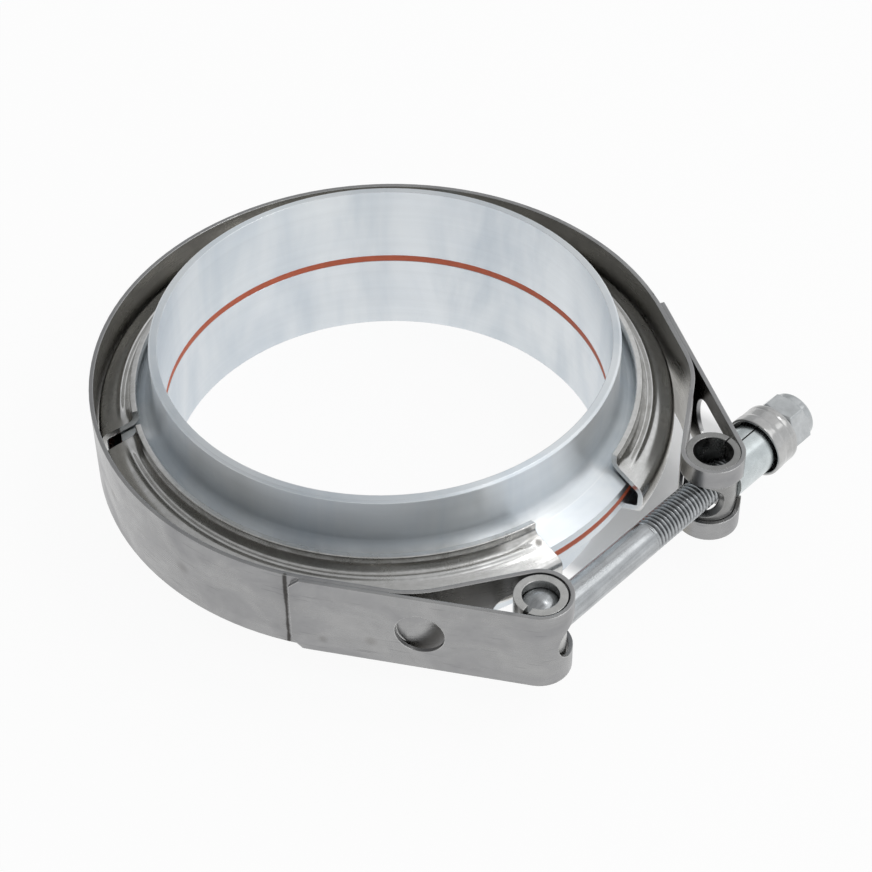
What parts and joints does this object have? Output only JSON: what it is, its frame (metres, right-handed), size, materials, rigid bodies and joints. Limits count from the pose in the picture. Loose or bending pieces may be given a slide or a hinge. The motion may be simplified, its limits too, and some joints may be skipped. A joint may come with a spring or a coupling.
{
  "type": "v band clamp on weld flanges",
  "caption": "V-band clamp with folded strap loops, T-bolt and lock nut, closed over two flared weld flanges and a flat gasket.",
  "frame": {"origin": "centre of the pipe at the joint plane, the middle of the gasket", "axes": "+Z along the pipe towards the upper flange; the T-bolt lies at -Y parallel to X with its nut on the +X side"},
  "size_m": [0.1126, 0.1227, 0.0344],
  "materials": {
    "flange_metal": "turned bright",
    "silicone": "matt",
    "segment_steel": "rolled, polished",
    "strap_steel": "brushed",
    "tube_steel": "mill",
    "bolt_steel": "zinc plated",
    "sleeve_steel": "zinc plated",
    "nut_steel": "zinc plated",
    "nylon": "matt"
  },
  "bodies": {
    "lower_pipe": {"lower_flange": "flange_metal", "gasket_ring": "silicone"},
    "upper_pipe": {"upper_flange": "flange_metal"},
    "clamp": {"band_strap": "strap_steel", "v_segment_left": "segment_steel", "v_segment_right": "segment_steel", "v_segment_back": "segment_steel", "head_tube": "tube_steel", "t_bolt": "bolt_steel"},
    "trunnion": {"trunnion_tube": "tube_steel"},
    "tension_stack": {"cup_washer": "bolt_steel", "spacer_sleeve": "sleeve_steel"},
    "nut": {"lock_nut": "nut_steel", "nylon_insert": "nylon"}
  },
  "joints": [
    {"name": "upper_flange_turn", "type": "hinge", "parent": "lower_pipe", "child": "upper_pipe", "pos_m": [0, 0, 0], "axis": [0, 0, 1], "continuous": true},
    {"name": "clamp_turn", "type": "hinge", "parent": "lower_pipe", "child": "clamp", "pos_m": [0, 0, 0], "axis": [0, 0, 1], "continuous": true},
    {"name": "trunnion_swivel", "type": "hinge", "parent": "clamp", "child": "trunnion", "pos_m": [0.024, -0.0601, 0], "axis": [0, 0, 1], "range_deg": [-3, 3]},
    {"name": "nut_travel", "type": "slide", "parent": "clamp", "child": "tension_stack", "axis": [1, 0, 0], "range_m": [0, 0.005]},
    {"name": "nut_spin", "type": "hinge", "parent": "tension_stack", "child": "nut", "pos_m": [0.046, -0.0601, 0], "axis": [1, 0, 0], "range_deg": [0, 1986]}
  ],
  "couplings": [
    {"joint": "nut_spin", "follows": "nut_travel", "rad_per_m": 6926.3}
  ]
}
